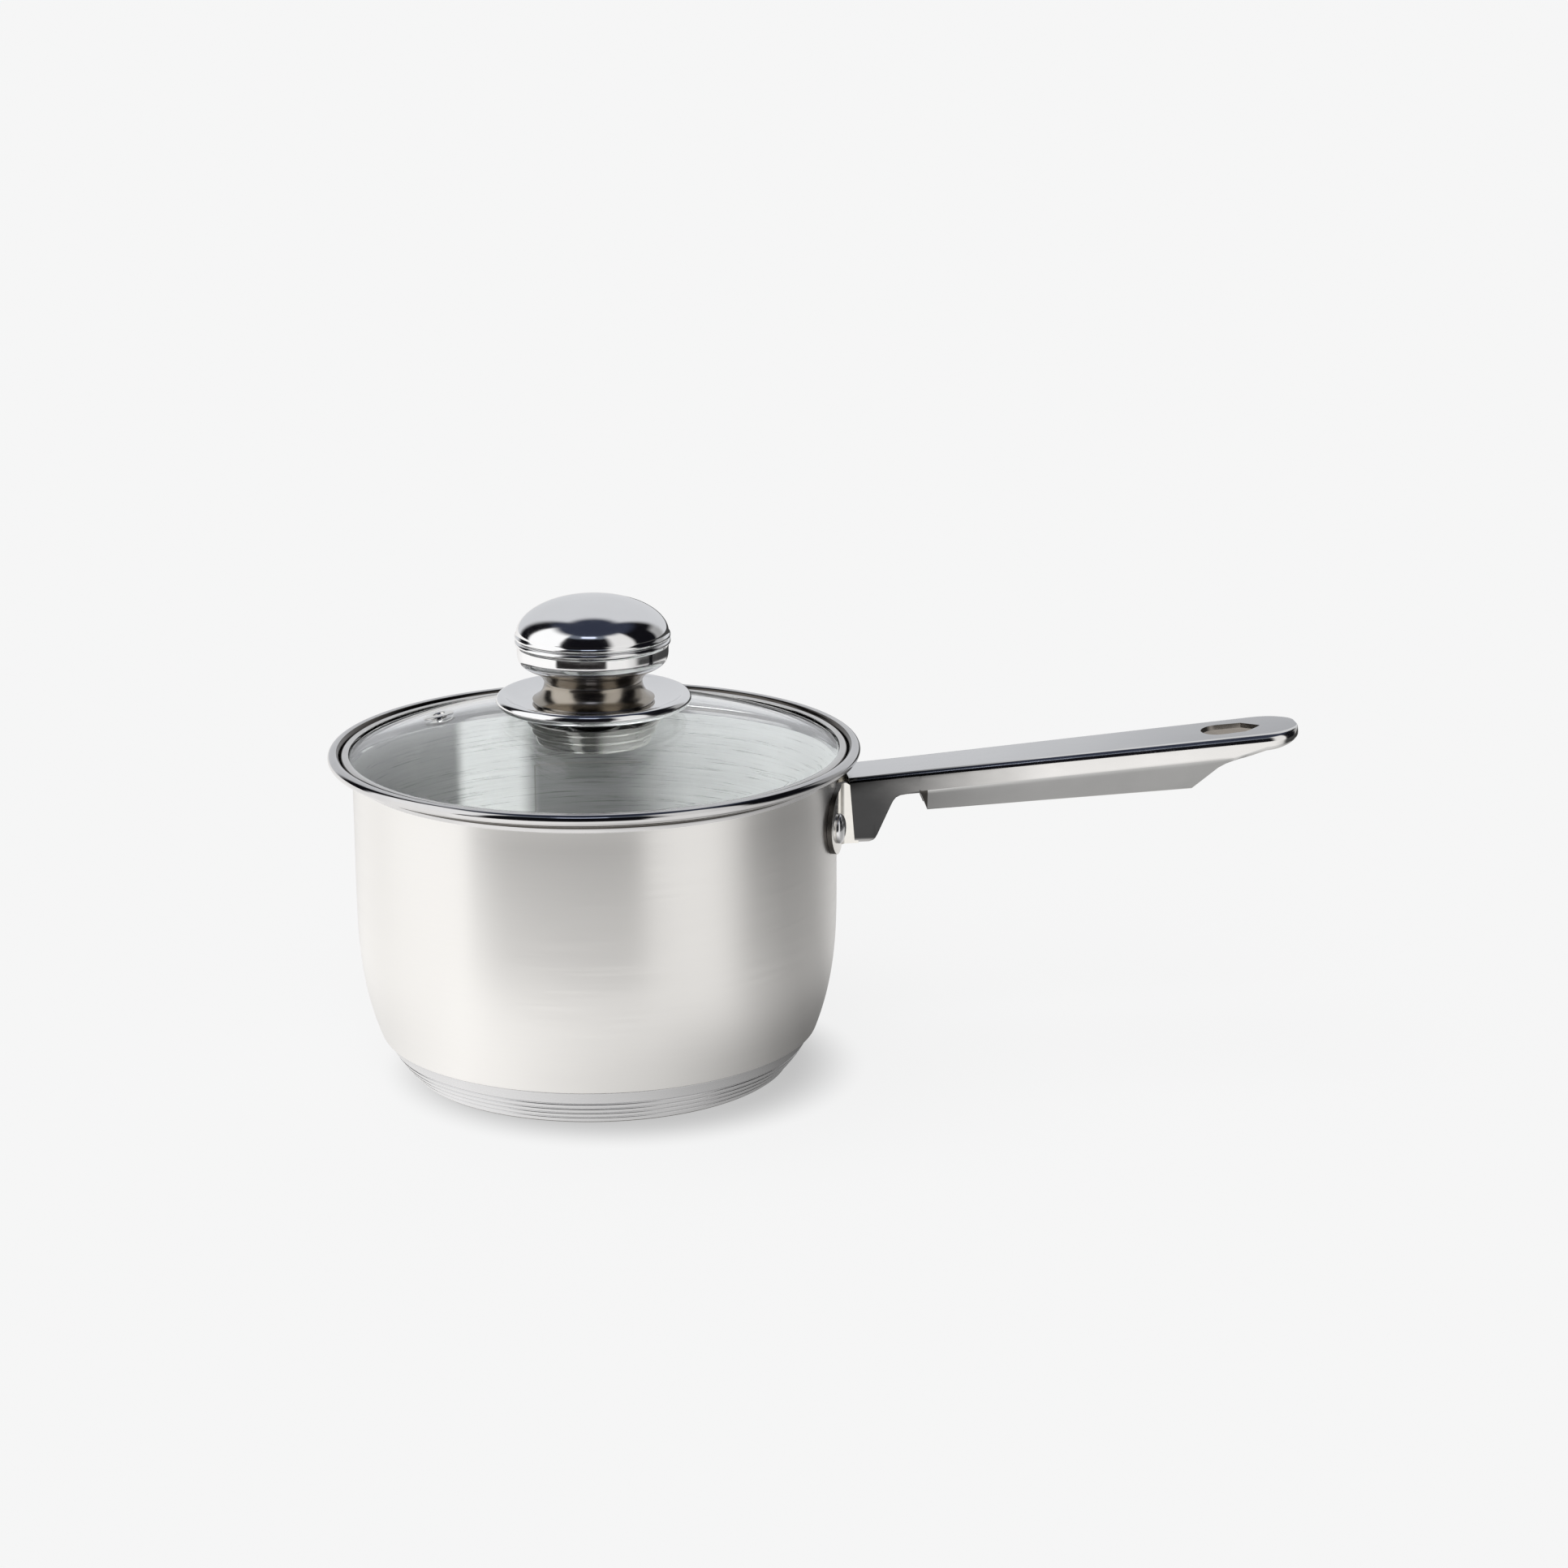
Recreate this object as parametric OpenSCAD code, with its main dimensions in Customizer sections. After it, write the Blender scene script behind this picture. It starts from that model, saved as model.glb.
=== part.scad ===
// Stainless saucepan with a folded sheet handle and a drop-in glass lid.
// Origin: centre of the base's underside. +Z up, handle along +X. Millimetres.

/* [Pan] */
// Outer radius of the straight wall
wall_r = 76.5; // [76:0.1:77]
// Height where the bulged lower wall becomes straight
bulge_top_z = 60; // [55:1:65]
// How far the wall has come in at the top of the base
bulge_in = 6.55; // [6:0.05:7]
// Power of the bulge: higher keeps the wall straight for longer
bulge_power = 2.8; // [2.4:0.1:3.2]
// Thickness of the drawn sheet
pan_t = 0.7; // [0.6:0.05:0.8]
// Height where the wall starts to flare
flare_z = 97.3; // [96:0.1:97.5]
// Top of the rolled rim
rim_z = 105; // [105:0.1:106]
// Outermost radius of the rolled rim
rim_r = 84.1; // [84:0.1:85]

/* [Base] */
// Thickness of the aluminium disc under the floor
core_t = 5.4; // [5:0.1:5.8]
// Outer radius of the base cap at the bottom
cap_bottom_r = 61.1; // [60.5:0.1:61.5]
// Outer radius of the base cap at its top edge
cap_top_r = 68.6; // [68.3:0.1:68.8]
// Heights of the turned grooves round the cap
groove_z = [2.2, 4.2, 6.1, 8.1];

/* [Handle] */
// Thickness of the folded sheet
sheet_t = 1.6; // [1.4:0.1:1.6]
// Upward tilt of the handle in degrees
tilt = 4.55; // [3:0.05:6]
// Half width at the root
root_half = 10.3; // [10:0.1:10.6]
// Half width near the tip
tip_half = 12.9; // [12:0.1:13.5]
// Length of the folded channel along its own axis
handle_len = 146.6; // [140:0.1:150]
// Azimuth of each rivet from the handle's axis in degrees
rivet_az = 16; // [15:0.5:17]
// Height of the rivets
rivet_z = 80.5; // [79:0.5:82]

/* [Lid] */
// Radius of the glass dome's upper surface
dome_r = 229.2; // [220:0.1:235]
// Height of the top of the glass
dome_z = 117; // [116.8:0.1:117.2]
// Thickness of the glass
glass_t = 3; // [2.8:0.1:3]
// Outer radius of the steel band round the glass
band_r = 80; // [79.5:0.1:80]
// Distance of the steam vent from the lid's centre
vent_rho = 52; // [45:1:58]
// Direction of the steam vent in degrees
vent_az = 159; // [90:1:270]

/* [Knob] */
// Radius of the knob's foot flange
foot_r = 30.8; // [30:0.1:31.5]
// Radius of the narrowest part of the neck
waist_r = 15.5; // [15:0.1:16]
// Radius of the cap
cap_r = 24; // [23.5:0.1:24.3]
// Top of the cap
knob_z = 152.8; // [152:0.1:154]

/* [Hidden] */
$fn = 96;

// Base and floor
cap_t = 0.6;
cap_top_z = 12.3;
fit_gap = 0.05;
floor_z = cap_t + core_t;
floor_mid = floor_z + pan_t / 2;
step_z = 13;
step_in = 2.05;
floor_corner_r = 9.2;
groove_r = 0.42;

// Rim
flare_r = 3.2;
flare_angle = 75;
bead_r = 1.8;
bead_c = [rim_r - bead_r, rim_z - bead_r];

// Handle
plate_z = 93.33;
plate_x = 80;
shoulder_r = 2.6;
taper_start = 22;
panel_lean = 0.62;
wall_depth = 6.5;
tip_start = 134;
flange_low = 72.2;
flange_high = 92.2;
flange_gap = 0.05;
flange_in = wall_r + flange_gap;
flange_out = flange_in + sheet_t;
ear_r = (flange_high - flange_low) / 2;
ear_y = 20.4;
bend_r = 1.7;
bend_y = root_half + bend_r;
bend_x = sqrt(pow(flange_out + bend_r, 2) - bend_y * bend_y);
bend_angle = atan2(bend_y, bend_x);
ear_start = flange_in * sin(bend_angle) + 0.02;
join = 0.03;
slot_start = 115.6;
slot_end = 135.2;
slot_half = 6;

// Rivets
rivet_r = 2.5;
rivet_hole_r = 2.55;
head_r = 4.8;
head_h = 2.3;

// Lid
dome_c = dome_z - dome_r;
glass_edge_r = 76.5;
band_t = 0.4;
band_top_z = 104.3;
vent_tilt = asin(vent_rho / dome_r);
eyelet_r = 4.9;
eyelet_tube_r = 2.5;
vent_hole_r = 1.9;
centre_hole_r = 4;

// Knob fastening
screw_r = 2.45;
bore_r = 2.5;
screw_clear_r = 2.8;
knob_t = 0.8;
gasket_top_z = 118.25;
foot_gap = 0.15;
well_z = 110.2;
under_t = 0.6;
washer_h = 1.2;
washer_z = well_z - under_t / 2 - washer_h;
screw_head_h = 3;
plate_r = 22.6;
cross_z = 137;

// Sheet sections: a middle line made into a closed outline of even thickness
function unit(v) = v / norm(v);
function left(v) = [-v.y, v.x];
function heading(p, i) = unit(p[i + 1] - p[i]);
function before(p, i) = heading(p, max(i - 1, 0));
function after(p, i) = heading(p, min(i, len(p) - 2));
function bisector(p, i) = unit(left(before(p, i)) + left(after(p, i)));
function beside(p, i, d) = p[i] + bisector(p, i) * d / (bisector(p, i) * left(after(p, i)));
function sheet(p, t) = concat(
    [for (i = [0:len(p) - 1]) beside(p, i, t / 2)],
    [for (i = [len(p) - 1:-1:0]) beside(p, i, -t / 2)]
);
function arc(c, r, a, b, n) = [for (i = [0:n]) c + r * [cos(a + (b - a) * i / n), sin(a + (b - a) * i / n)]];

module turned(path, t) {
    rotate_extrude() polygon(sheet(path, t));
}

module washer(outer, inner, low, high) {
    translate([0, 0, low]) difference() {
        cylinder(r = outer, h = high - low);
        translate([0, 0, -1]) cylinder(r = inner, h = high - low + 2);
    }
}

// Pan body: floor, stepped corner, bulged wall, flare and rolled bead
function bulge(z) = bulge_in * pow(max(bulge_top_z - z, 0) / (bulge_top_z - step_z), bulge_power);
function wall_mid(z) = wall_r - pan_t / 2 - bulge(z);
step_r = wall_mid(step_z) - step_in;
corner_c = [step_r - floor_corner_r * cos(21), floor_mid + floor_corner_r];
flare_c = [wall_r - pan_t / 2 + flare_r, flare_z];
flare_end = flare_c + flare_r * [-cos(flare_angle), sin(flare_angle)];
bead_mid = bead_r - pan_t / 2;

function floor_path() = concat(
    [[0, floor_mid]],
    arc(corner_c, floor_corner_r, -90, -21, 8),
    [[step_r + 0.15, step_z - 0.35], [wall_mid(step_z) - 0.2, step_z + 0.05]]
);
function wall_path() = concat(
    [for (z = [step_z + 0.4:3.5:bulge_top_z]) [wall_mid(z), z]],
    [[wall_mid(bulge_top_z + 2), bulge_top_z + 2]]
);
function rim_path() = concat(
    arc(flare_c, flare_r, 180, 180 - flare_angle, 7),
    [[bead_c.x - bead_mid - 0.5, flare_end.y + 0.45], [bead_c.x - bead_mid - 0.1, flare_end.y + 0.95]],
    arc(bead_c, bead_mid, 180, -110, 14)
);

module rivet_axis(side) {
    rotate([0, 0, side * rivet_az]) translate([0, 0, rivet_z]) rotate([0, 90, 0]) children();
}

module rivet_holes() {
    for (side = [-1, 1]) {
        rivet_axis(side) translate([0, 0, wall_r - 8]) cylinder(r = rivet_hole_r, h = 16);
    }
}

module pan_body() {
    color("gainsboro") difference() {
        turned(concat(floor_path(), wall_path(), rim_path()), pan_t);
        rivet_holes();
    }
}

// Encapsulated base: an aluminium disc under a pressed steel cap
cap_mid_bottom = cap_bottom_r - cap_t / 2;
cap_mid_top = cap_top_r - cap_t / 2;
cap_bow = 0.7;
function cap_side(i, n) = let (k = i / n) [
    cap_mid_bottom + (cap_mid_top - cap_mid_bottom) * k + cap_bow * sin(180 * k),
    1.3 + (cap_top_z - 1.3) * k
];
function cap_path() = concat(
    [[0, cap_t / 2], [cap_mid_bottom - 1.2, cap_t / 2], [cap_mid_bottom - 0.4, cap_t / 2 + 0.3]],
    [for (i = [0:8]) cap_side(i, 8)]
);

module base_cap() {
    color("silver") difference() {
        turned(cap_path(), cap_t);
        for (z = groove_z) {
            rotate_extrude() translate([groove_x(z), z]) circle(r = groove_r, $fn = 24);
        }
    }
}
function groove_x(z) = let (k = (z - 1.3) / (cap_top_z - 1.3))
    cap_mid_bottom + (cap_mid_top - cap_mid_bottom) * k + cap_bow * sin(180 * k) + cap_t / 2 + 0.15;

module base_core() {
    corner = arc(corner_c, floor_corner_r + pan_t / 2 + fit_gap, -90, -46, 5);
    rim = [for (i = [0:5]) cap_side(i, 8) - [cap_t / 2 + 2 * fit_gap, 0]];
    color("darkgray") rotate_extrude() polygon(concat(
        [[0, cap_t], [cap_mid_bottom - 1.3, cap_t]],
        rim,
        [for (i = [len(corner) - 1:-1:0]) corner[i]],
        [[0, floor_z - fit_gap]]
    ));
}

// Handle: one folded sheet. Each station is [distance, depth, lean of the lower panel].
stations = [
    [0, 21.0, 0], [5.4, 21.4, 0], [6.6, 20.9, 0], [7.6, 19.7, 0], [13, 9.9, 0], [14.2, 8.2, 0],
    [16, 7.3, 0], [taper_start, 7.3, 0], [22.8, 8.4, panel_lean], [24.6, 14.3, panel_lean],
    [110.5, 17, panel_lean], [118.6, 9.8, panel_lean], [123.5, 7.6, panel_lean], [128.9, 6.4, 0],
    [tip_start, 5.2, 0]
];
tip_steps = 8;
function tip_k(i) = sin(90 * i / tip_steps);
function run_half(s) = root_half + (tip_half - root_half) * max(s - taper_start, 0) / (tip_start - taper_start);
function tip_station(i) = [tip_start + (handle_len - tip_start) * tip_k(i), 5.2 - 2.4 * pow(tip_k(i), 2), 0];
function tip_width(i) = tip_half * (0.16 + 0.84 * sqrt(1 - pow(tip_k(i) * 0.985, 2.4)));
rows = concat(
    [for (st = stations) [st[0], st[1], st[2], run_half(st[0])]],
    [for (i = [1:tip_steps]) concat(tip_station(i), [tip_width(i)])]
);
function half_section(depth, lean, half) = let (
    rs = min(shoulder_r, half / 2),
    knee = min(wall_depth, depth - sheet_t / 2 - 0.3),
    inset = sheet_t / 2
) concat(
    arc([half - rs, -rs], rs - inset, 90, 0, 4),
    [[half - inset, -max(knee, rs + 0.1)], [half - inset - lean * max(depth - wall_depth, 0), -depth + 0.1]]
);
function mirrored(p) = [for (i = [len(p) - 1:-1:0]) [-p[i].x, p[i].y]];
function section(row) = let (h = half_section(row[1], row[2], row[3])) sheet(concat(mirrored(h), h), sheet_t);
function placed(row) = [for (q = section(row)) [row[0], q.x, q.y]];
ring_n = len(section(rows[0]));
row_n = len(rows);
function quad(a, b, c, d) = [[a, b, c], [a, c, d]];

module folded_channel() {
    skin = [for (j = [0:row_n - 2]) for (i = [0:ring_n - 1]) for (f = quad(
        j * ring_n + i, j * ring_n + (i + 1) % ring_n,
        (j + 1) * ring_n + (i + 1) % ring_n, (j + 1) * ring_n + i
    )) f];
    last = (row_n - 1) * ring_n;
    near_end = [for (i = [0:ring_n / 2 - 2]) for (f = quad(i, ring_n - 1 - i, ring_n - 2 - i, i + 1)) f];
    far_end = [for (f = near_end) [last + f[2], last + f[1], last + f[0]]];
    polyhedron([for (row = rows) for (p = placed(row)) p], concat(skin, near_end, far_end));
}

module hanging_slot() {
    nose = 5.5;
    translate([0, 0, -10]) linear_extrude(20) union() {
        translate([slot_start + slot_half, 0]) circle(r = slot_half);
        polygon([
            [slot_start + slot_half, -slot_half], [slot_end - nose, -slot_half + 0.6], [slot_end, 0],
            [slot_end - nose, slot_half - 0.6], [slot_start + slot_half, slot_half]
        ]);
    }
}

module ear_outline() {
    translate([ear_y, flange_low + ear_r]) circle(r = ear_r);
    translate([ear_start, flange_low]) square([ear_y - ear_start, 2 * ear_r]);
}

module ear() {
    intersection() {
        difference() {
            cylinder(r = flange_out, h = rim_z);
            translate([0, 0, -1]) cylinder(r = flange_in, h = rim_z + 2);
        }
        translate([60, 0, 0]) rotate([90, 0, 90]) linear_extrude(30) ear_outline();
    }
}

module bend() {
    start = 178 + bend_angle;
    reach = 2 * (bend_r + sheet_t);
    translate([bend_x, bend_y, flange_low]) intersection() {
        difference() {
            cylinder(r = bend_r + sheet_t, h = 2 * ear_r);
            translate([0, 0, -1]) cylinder(r = bend_r, h = 2 * ear_r + 2);
        }
        linear_extrude(2 * ear_r) polygon([
            [0, 0], reach * [cos(start), sin(start)], reach * [cos(230), sin(230)], reach * [0, -1]
        ]);
    }
}

module gusset_root() {
    back = bend_x - 0.3;
    translate([back, root_half - sheet_t + join, flange_low])
        cube([plate_x + 2.2 - back, sheet_t - 2 * join, 18]);
}

module handle() {
    color("lightgray") difference() {
        union() {
            difference() {
                translate([plate_x, 0, plate_z]) rotate([0, -tilt, 0]) folded_channel();
                translate([plate_x + 1, -20, flange_low + 19])
                    rotate([-90, 0, 0]) cylinder(r = 1.5, h = 40);
            }
            for (side = [0, 1]) {
                mirror([0, side, 0]) {
                    ear();
                    bend();
                    gusset_root();
                }
            }
        }
        translate([plate_x, 0, plate_z]) rotate([0, -tilt, 0]) hanging_slot();
        rivet_holes();
    }
}

// Rivets: shank through ear and wall, with a domed head on each side
module head_dome(r, h) {
    rotate_extrude() polygon(concat(
        [[0, 0], [r - 0.2, 0], [r, 0.25]],
        [for (i = [1:7]) [r * cos(90 * i / 8), 0.25 + (h - 0.25) * sin(90 * i / 8)]],
        [[0, h]]
    ));
}

module rivet(side) {
    inner_face = (wall_r - pan_t) * cos(asin(head_r / (wall_r - pan_t)));
    color("whitesmoke") rivet_axis(side) union() {
        translate([0, 0, inner_face - 0.3]) cylinder(r = rivet_r, h = flange_out - inner_face + 0.6);
        translate([0, 0, flange_out]) head_dome(head_r, head_h);
        translate([0, 0, inner_face]) mirror([0, 0, 1]) head_dome(head_r, head_h);
    }
}

module rivet_front() {
    rivet(-1);
}

module rivet_rear() {
    rivet(1);
}

// Lid glass: a spherical dome with a pencil edge, a centre hole and a vent hole
function on_dome(r, rho) = [rho, dome_c + sqrt(r * r - rho * rho)];
edge_c = on_dome(dome_r - glass_t / 2, glass_edge_r);
edge_a = atan2(edge_c.y - dome_c, edge_c.x);

module vent_axis() {
    translate([0, 0, dome_c]) rotate([0, 0, vent_az]) rotate([0, vent_tilt, 0]) children();
}

module lid_glass() {
    color("lightcyan", 0.4) difference() {
        rotate_extrude() polygon(concat(
            arc([0, dome_c], dome_r, 90, edge_a, 24),
            arc(edge_c, glass_t / 2, edge_a - 22.5, edge_a - 157.5, 6),
            arc([0, dome_c], dome_r - glass_t, edge_a, 90, 24)
        ));
        translate([0, 0, dome_z - 8]) cylinder(r = centre_hole_r, h = 16);
        vent_axis() translate([0, 0, dome_r - 8]) cylinder(r = eyelet_tube_r + fit_gap, h = 16);
    }
}

// Lid band: a rolled steel channel round the edge of the glass
module lid_band() {
    side = band_r - band_t / 2;
    round_r = 0.9;
    low_z = 102.3;
    color("silver") turned(concat(
        [[77.75, band_top_z - 0.35]],
        arc([side - round_r, band_top_z - band_t / 2 - round_r], round_r, 90, 0, 5),
        arc([side - round_r, low_z], round_r, 0, -75, 4),
        [[77.6, 100.95], [76.7, 100.45]]
    ), band_t);
}

// Steam vent: an eyelet rolled over both faces of the glass
module vent_eyelet() {
    lip = 0.5;
    top = dome_r + 0.1;
    low = dome_r - glass_t - 0.1;
    color("silver") vent_axis() rotate_extrude() polygon(concat(
        [[vent_hole_r, low - lip], [eyelet_r - 0.8, low - lip], [eyelet_r - 0.4, low - 0.1], [eyelet_r - 0.5, low]],
        [[eyelet_tube_r, low], [eyelet_tube_r, top], [eyelet_r, top]],
        [for (i = [1:5]) [eyelet_r - 1.2 + 1.2 * cos(18 * i), top + 0.8 * sin(18 * i)]],
        [[vent_hole_r + 0.8, top + 0.6], [vent_hole_r, top]]
    ));
}

// Silicone washers that keep the steel off the glass
module upper_gasket() {
    seat_z = dome_z + fit_gap;
    color("dimgray") union() {
        washer(11, screw_r + 0.2, seat_z, gasket_top_z);
        washer(centre_hole_r - 0.1, screw_r + 0.2, dome_z - 2.6, seat_z + 0.1);
    }
}

module lower_gasket() {
    color("dimgray") washer(8.6, screw_r + 0.2, well_z + under_t / 2, on_dome(dome_r - glass_t, 8.6).y - 0.02);
}

// Stepped cup that the screw pulls up against the underside of the glass
module under_lid_cup() {
    color("silver") turned([
        [screw_clear_r, well_z], [7.4, well_z], [8.3, well_z - 0.6], [8.9, 106], [9.6, 105.4],
        [16.9, 105.4], [17.8, 105.9], [18.1, 107.9], [18.6, 108.4], [19.2, 108.6], [19.5, 109.1],
        [19.7, 110.6], [20.1, 111], [20.6, 111.2], [20.9, 111.7], [21, 112.6]
    ], under_t);
}

module spring_washer() {
    color("gray") difference() {
        washer(4.4, screw_r + 0.1, washer_z, washer_z + washer_h - 0.05);
        translate([0, -0.4, washer_z - 1]) cube([8, 0.8, washer_h + 2]);
    }
}

module knob_screw() {
    color("silver") difference() {
        union() {
            translate([0, 0, washer_z - 1]) cylinder(r = screw_r, h = 135.5 - washer_z);
            translate([0, 0, washer_z - 0.05]) mirror([0, 0, 1]) rotate_extrude() polygon(concat(
                [[0, 0], [4.6, 0]],
                [for (i = [0:5]) [4.6 * cos(15 * i), 1 + (screw_head_h - 1) * sin(15 * i)]],
                [[0, screw_head_h]]
            ));
        }
        for (a = [0, 90]) {
            rotate([0, 0, a]) translate([-2.6, -0.5, washer_z - screw_head_h - 1]) cube([5.2, 1, 2.6]);
        }
    }
}

// Knob shells, from the foot up
foot_z = gasket_top_z + foot_gap + knob_t / 2;
foot_bead = [foot_r - 1.9, 119.85];

module knob_foot() {
    color("gainsboro") turned(concat(
        [[screw_clear_r, foot_z], [19, foot_z + 0.1], [23.5, foot_z + 0.55], [26.4, foot_z + 1.45]],
        arc(foot_bead, 1.5, 128, -120, 12)
    ), knob_t);
}

neck_c = [waist_r + 6, 125.7];
seam_z = 126;
seam_bead_r = 0.53;
seam_bead_x = cap_r - 0.4;

module knob_neck() {
    color("rosybrown") turned(concat(
        arc(neck_c, 6.4, 248, 180, 8),
        [[waist_r - knob_t / 2, seam_z]]
    ), knob_t);
}

module knob_cup() {
    color("lightgray") turned(concat(
        [[waist_r + 0.1 - knob_t / 2, seam_z + 0.1], [waist_r + 0.2 - knob_t / 2, seam_z + 0.5]],
        [[16, 127.7], [17.3, 129], [19, 130.1], [20.8, 130.9], [22.2, 131.8], [23, 132.9]],
        [[cap_r - 0.6, 134.4], [cap_r - 0.55, 136.2], [cap_r - 0.4, 137.4]],
        arc([seam_bead_x, 138.5], seam_bead_r, -50, 120, 6)
    ), knob_t);
}

module knob_cap() {
    hem_z = 140.4;
    dome_low = 141.3;
    inset = knob_t / 2;
    color("whitesmoke") turned(concat(
        arc([seam_bead_x, hem_z], seam_bead_r, -120, 40, 5),
        [for (i = [0:15]) [
            (cap_r - inset) * pow(cos(5.625 * i), 0.96),
            dome_low + (knob_z - inset - dome_low) * pow(sin(5.625 * i), 1.08)
        ]],
        [[0.8, knob_z - inset], [0, knob_z - inset]]
    ), knob_t);
}

// Plate clamped between cup and cap, which holds the threaded boss
module cross_plate() {
    color("gray") washer(plate_r, 5.2, cross_z, cross_z + 1);
}

module threaded_boss() {
    boss_low = foot_z + knob_t / 2 + fit_gap;
    color("gray") difference() {
        union() {
            translate([0, 0, boss_low]) cylinder(r = 5.15, h = cross_z + 1.5 - boss_low);
            translate([0, 0, cross_z + 1 + fit_gap]) cylinder(r = 8, h = 1.6, $fn = 6);
        }
        translate([0, 0, boss_low - 1]) cylinder(r = bore_r, h = cross_z - boss_low);
    }
}

pan_body();
base_core();
base_cap();
handle();
rivet_front();
rivet_rear();
lid_glass();
lid_band();
vent_eyelet();
upper_gasket();
lower_gasket();
under_lid_cup();
spring_washer();
knob_screw();
knob_foot();
knob_neck();
knob_cup();
knob_cap();
cross_plate();
threaded_boss();
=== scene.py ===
"""Stainless saucepan with a glass lid: the looks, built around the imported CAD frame.

Shapes are turned or folded from outlines in millimetres, in the frame's own axes: origin at the
centre of the base's underside, +Z up, handle along +X.
"""

import math

import bpy
from mathutils import Matrix, Vector


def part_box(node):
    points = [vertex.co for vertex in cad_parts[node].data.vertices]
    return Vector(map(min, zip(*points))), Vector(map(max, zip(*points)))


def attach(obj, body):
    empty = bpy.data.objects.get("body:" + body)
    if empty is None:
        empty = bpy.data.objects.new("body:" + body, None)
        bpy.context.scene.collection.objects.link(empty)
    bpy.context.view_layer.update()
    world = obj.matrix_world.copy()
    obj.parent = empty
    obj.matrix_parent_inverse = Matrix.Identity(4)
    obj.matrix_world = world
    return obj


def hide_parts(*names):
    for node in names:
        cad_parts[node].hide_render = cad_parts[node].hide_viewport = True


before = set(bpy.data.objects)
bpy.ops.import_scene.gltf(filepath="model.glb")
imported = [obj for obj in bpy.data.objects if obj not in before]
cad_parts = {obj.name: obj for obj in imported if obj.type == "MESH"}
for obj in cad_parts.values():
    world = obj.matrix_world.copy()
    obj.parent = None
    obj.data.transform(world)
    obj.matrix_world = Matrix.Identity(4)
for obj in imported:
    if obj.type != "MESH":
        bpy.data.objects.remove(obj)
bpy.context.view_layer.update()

MM = 0.001
TURNS = 224
VIEW_AZ = math.radians(6)


def node_box(node):
    """Lowest and highest corners of a CAD node, in millimetres."""
    low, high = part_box(node)
    return low / MM, high / MM


# ---------------------------------------------------------------- sizes from the frame
PAN_LOW, PAN_HIGH = node_box("pan_body")
BAND_HIGH = node_box("lid_band")[1]

RIM_R = PAN_HIGH.x
RIM_Z = PAN_HIGH.z
FLOOR_Z = PAN_LOW.z
CAP_TOP_Z = node_box("base_cap")[1].z - 0.1
BAND_R = BAND_HIGH.x
BAND_TOP_Z = BAND_HIGH.z
DOME_Z = node_box("lid_glass")[1].z
FOOT_R = node_box("knob_foot")[1].x
KNOB_Z = node_box("knob_cap")[1].z

# ---------------------------------------------------------------- other sizes
PAN_T = 0.7
WALL_R = 76.5
BULGE_TOP_Z = 60
BULGE_IN = 6.55
BULGE_POWER = 2.8
STEP_Z = 13
STEP_IN = 2.05
FLOOR_CORNER_R = 9.2
FLARE_Z = 97.3
FLARE_R = 3.2
FLARE_ANGLE = 75
BEAD_R = 1.8

CAP_T = 0.6
CAP_BOTTOM_R = 61.1
CAP_TOP_R = 68.6
CAP_BOW = 0.7
CAP_HEEL_Z = 1.3
GROOVES = (2.2, 4.2, 6.1, 8.1)
GROOVE_HALF = 0.42
GROOVE_DEPTH = 0.36

SHEET_T = 1.6
TILT = math.radians(4.55)
PLATE_X = 80
PLATE_Z = 93.33
ROOT_HALF = 10.3
TIP_HALF = 12.9
HANDLE_LEN = 146.4
TAPER_START = 22
TIP_START = 134
FLANGE_LOW = 72.2
FLANGE_HIGH = 92.2
FLANGE_IN = 76.58
BEND_R = 1.7
FOLD_SHARP = 35
EAR_Y = 20.4
EAR_R = (FLANGE_HIGH - FLANGE_LOW) / 2
EAR_STEPS = 26
EAR_LEVELS = 14
SLOT = (115.6, 135.2, 6.0)
RIVET_AZ = 16
RIVET_Z = 80.5
HEAD_R = 4.8
HEAD_H = 2.3

DOME_R = 229.2
GLASS_T = 3
GLASS_EDGE_R = 76.5
VENT_RHO = 52
VENT_AZ = 159
EYELET_R = 4.9
VENT_HOLE_R = 1.9

KNOB_T = 0.8
WAIST_R = 15.5
CAP_R = 24
FOOT_PLATE_Z = 118.8
SEAM_Z = 126.0
CONE_TOP_Z = 131.6
CUP_BEAD_Z = 138.5
HEM_BEAD_Z = 140.4
DOME_LOW_Z = 141.3
SEAM_BEAD_R = 0.53
SEAM_BEAD_X = CAP_R - 0.4
SHOULDER_R = (1.5, 2.5)

# a thin dark frame of lines on the pot's inner face, in metres
FRAME_LINE_LEFT = -0.024
FRAME_LINE_RIGHT = 0.012
FRAME_LINE_TOP = 0.079
FRAME_LINE_HALF = 0.00022


# ---------------------------------------------------------------- outlines
def arc(centre, radius, start, end, steps):
    """Points along an arc, angles in degrees."""
    angles = [math.radians(start + (end - start) * i / steps) for i in range(steps + 1)]
    return [(centre[0] + radius * math.cos(a), centre[1] + radius * math.sin(a)) for a in angles]


def unit(x, y):
    size = math.hypot(x, y)
    return x / size, y / size


def side_of(path, i, distance):
    """The point beside path[i], at an even distance from both of its segments, to the left."""
    a, b = path[max(i - 1, 0)], path[max(i - 1, 0) + 1]
    c, d = path[min(i, len(path) - 2)], path[min(i, len(path) - 2) + 1]
    before, after = unit(b[0] - a[0], b[1] - a[1]), unit(d[0] - c[0], d[1] - c[1])
    middle = unit(-before[1] - after[1], before[0] + after[0])
    reach = distance / (middle[0] * -after[1] + middle[1] * after[0])
    return path[i][0] + middle[0] * reach, path[i][1] + middle[1] * reach


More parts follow.
